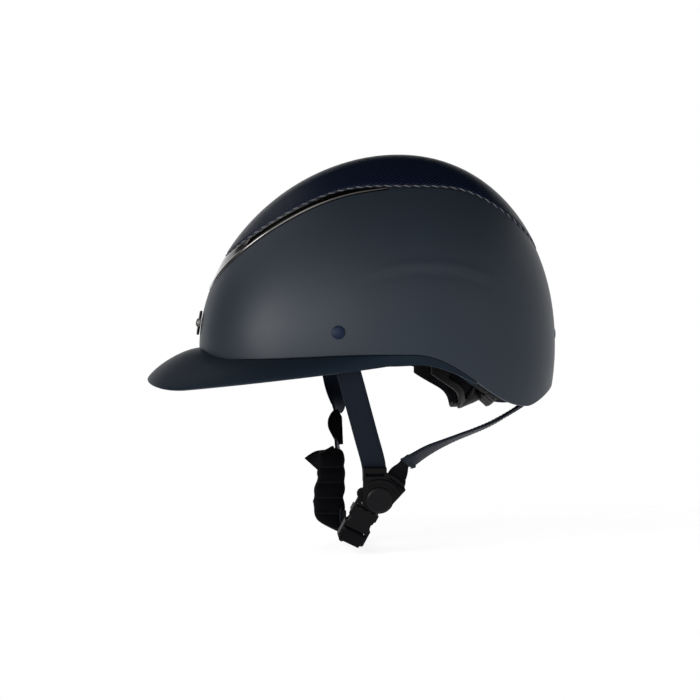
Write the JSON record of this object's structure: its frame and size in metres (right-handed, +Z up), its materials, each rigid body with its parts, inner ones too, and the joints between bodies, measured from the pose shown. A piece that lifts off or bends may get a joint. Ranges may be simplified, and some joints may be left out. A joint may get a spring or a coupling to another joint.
{
  "type": "riding helmet",
  "caption": "Riding helmet with a moulded peak, inlaid top panel, vented crescent, padded liner, dial-fitted cradle and a buckled chin harness.",
  "frame": {"origin": "centre of the head opening, level with the rim at the front of the shell", "axes": "-Y is where the wearer looks, +X is the wearer's left, +Z is up; a head enters along +Z"},
  "size_m": [0.2192, 0.3164, 0.3027],
  "materials": {
    "shell_skin": "satin dark navy lacquer",
    "panel_weave": "navy carbon weave under clear lacquer",
    "panel_cord": "silver-grey twisted cord",
    "smoked_chrome": "smoked mirror plating",
    "black_mesh": "satin black",
    "peak_skin": "satin dark navy",
    "badge_chrome": "polished, plain",
    "rivet_blue": "satin navy",
    "anchor_steel": "brushed",
    "liner_foam": "matte beaded foam",
    "pad_cloth": "knitted black",
    "cradle_nylon": "fine-grained black nylon",
    "gear_acetal": "off-white acetal",
    "knob_grey": "dark grey grip",
    "knob_cap": "gloss black disc",
    "rack_acetal": "black acetal",
    "arm_nylon": "flexible black nylon",
    "navy_strap": "smooth navy, stitched edges",
    "black_webbing": "black webbing",
    "buckle_acetal": "satin black acetal",
    "cap_satin": "satin black disc",
    "sleeve_cloth": "padded black sleeve"
  },
  "bodies": {
    "helmet": {"outer_shell": "shell_skin", "top_panel": "panel_weave", "panel_piping": "panel_cord", "vent_frame": "smoked_chrome", "vent_mesh": "black_mesh", "peak": "peak_skin", "front_badge": "badge_chrome", "shell_rivets": "rivet_blue", "strap_anchors": "anchor_steel", "eps_liner": "liner_foam", "brow_pad": "pad_cloth", "side_pads": "pad_cloth", "crown_pad": "pad_cloth", "arm_left": "arm_nylon", "arm_right": "arm_nylon", "arm_studs": "arm_nylon", "front_strap_left": "navy_strap", "front_strap_right": "navy_strap", "rear_strap_left": "navy_strap", "rear_strap_right": "navy_strap", "rear_tab_left": "black_webbing", "left_divider": "buckle_acetal", "divider_cap": "cap_satin", "buckle_male": "buckle_acetal", "chin_strap": "black_webbing", "chin_pad": "sleeve_cloth", "chin_slider": "buckle_acetal", "strap_tail": "black_webbing", "right_divider": "buckle_acetal"},
    "cradle": {"cradle_plate": "cradle_nylon", "nape_pad": "pad_cloth", "dial_housing": "cradle_nylon", "housing_cover": "cradle_nylon"},
    "dial": {"dial_knob": "knob_grey", "dial_pinion": "gear_acetal", "dial_cap": "knob_cap"},
    "rack_l": {"rack_left": "rack_acetal"},
    "rack_r": {"rack_right": "rack_acetal"},
    "socket": {"buckle_female": "buckle_acetal"},
    "prong_f": {"prong_front": "buckle_acetal"},
    "prong_r": {"prong_rear": "buckle_acetal"}
  },
  "joints": [
    {"name": "cradle_fit", "type": "slide", "parent": "helmet", "child": "cradle", "axis": [0, -1, 0], "range_m": [0, 0.006], "deforming": ["arm_left", "arm_right"]},
    {"name": "dial_spin", "type": "hinge", "parent": "cradle", "child": "dial", "pos_m": [0, 0.0863, -0.0202], "axis": [0, -0.7431, 0.6691], "range_deg": [0, 180]},
    {"name": "rack_left_feed", "type": "slide", "parent": "cradle", "child": "rack_l", "axis": [-1, 0, 0], "range_m": [0, 0.01571]},
    {"name": "rack_right_feed", "type": "slide", "parent": "cradle", "child": "rack_r", "axis": [1, 0, 0], "range_m": [0, 0.01571]},
    {"name": "buckle_release", "type": "slide", "parent": "helmet", "child": "socket", "axis": [-0.2165, -0.4462, -0.8684], "range_m": [0, 0.016], "deforming": ["chin_strap", "prong_front", "prong_rear"]},
    {"name": "prong_squeeze", "type": "hinge", "parent": "helmet", "child": "prong_f", "pos_m": [0.06516, -0.01738, -0.1086], "axis": [0.9703, 0, -0.2419], "range_deg": [0, 9], "stiffness_Nm_per_rad": 0.02},
    {"name": "prong_rear_squeeze", "type": "hinge", "parent": "helmet", "child": "prong_r", "pos_m": [0.06381, -0.0062, -0.11402], "axis": [-0.9703, 0, 0.2419], "range_deg": [0, 9], "stiffness_Nm_per_rad": 0.02}
  ],
  "couplings": [
    {"joint": "dial_spin", "follows": "cradle_fit", "rad_per_m": 523.6},
    {"joint": "rack_left_feed", "follows": "cradle_fit", "ratio": 2.618},
    {"joint": "rack_right_feed", "follows": "cradle_fit", "ratio": 2.618},
    {"joint": "prong_rear_squeeze", "follows": "prong_squeeze", "ratio": 1}
  ]
}
